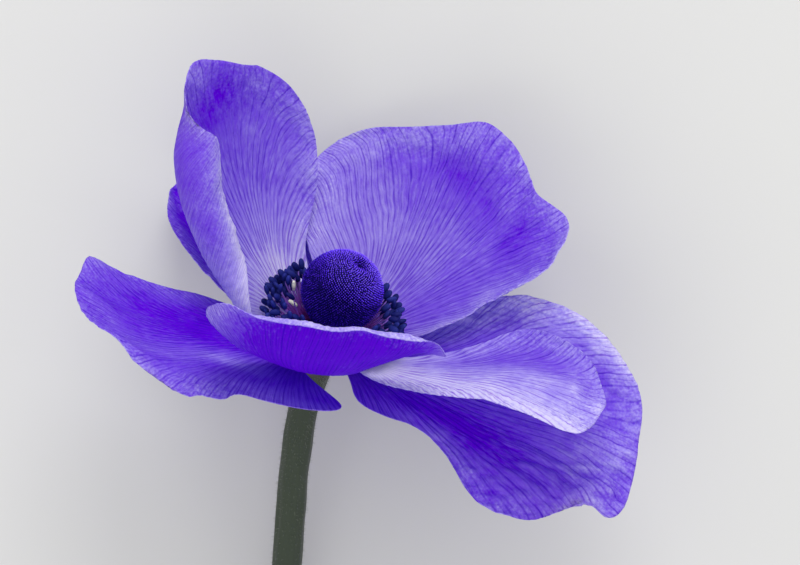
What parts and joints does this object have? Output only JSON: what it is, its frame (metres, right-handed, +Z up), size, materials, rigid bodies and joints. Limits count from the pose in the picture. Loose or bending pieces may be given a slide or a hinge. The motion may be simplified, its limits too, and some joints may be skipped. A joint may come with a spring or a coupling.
{
  "type": "poppy anemone flower",
  "caption": "Cut violet-blue poppy anemone in full bloom with crinkled petals, a dark centre and a curved green stem, lying down.",
  "frame": {"origin": "middle of the flower's footprint, on the surface it lies on", "axes": "+Z up from that surface, towards the camera; +Y from the stem's cut end to the flower; +X to the flower's right as the camera sees it"},
  "size_m": [0.0852, 0.1208, 0.0624],
  "materials": {
    "petal_violet_blue": null,
    "pistil_indigo": null,
    "stamen_navy": null,
    "stem_green": null
  },
  "bodies": {
    "root": {"petal_back_left_inner": "petal_violet_blue", "petal_back_left_outer": "petal_violet_blue", "petal_back_outer": "petal_violet_blue", "petal_back_right_inner": "petal_violet_blue", "petal_right_outer": "petal_violet_blue", "petal_right_inner": "petal_violet_blue", "petal_left_outer": "petal_violet_blue", "petal_front_inner": "petal_violet_blue", "pistil_head": "pistil_indigo", "stamens": "stamen_navy", "stem": "stem_green"}
  },
  "joints": []
}
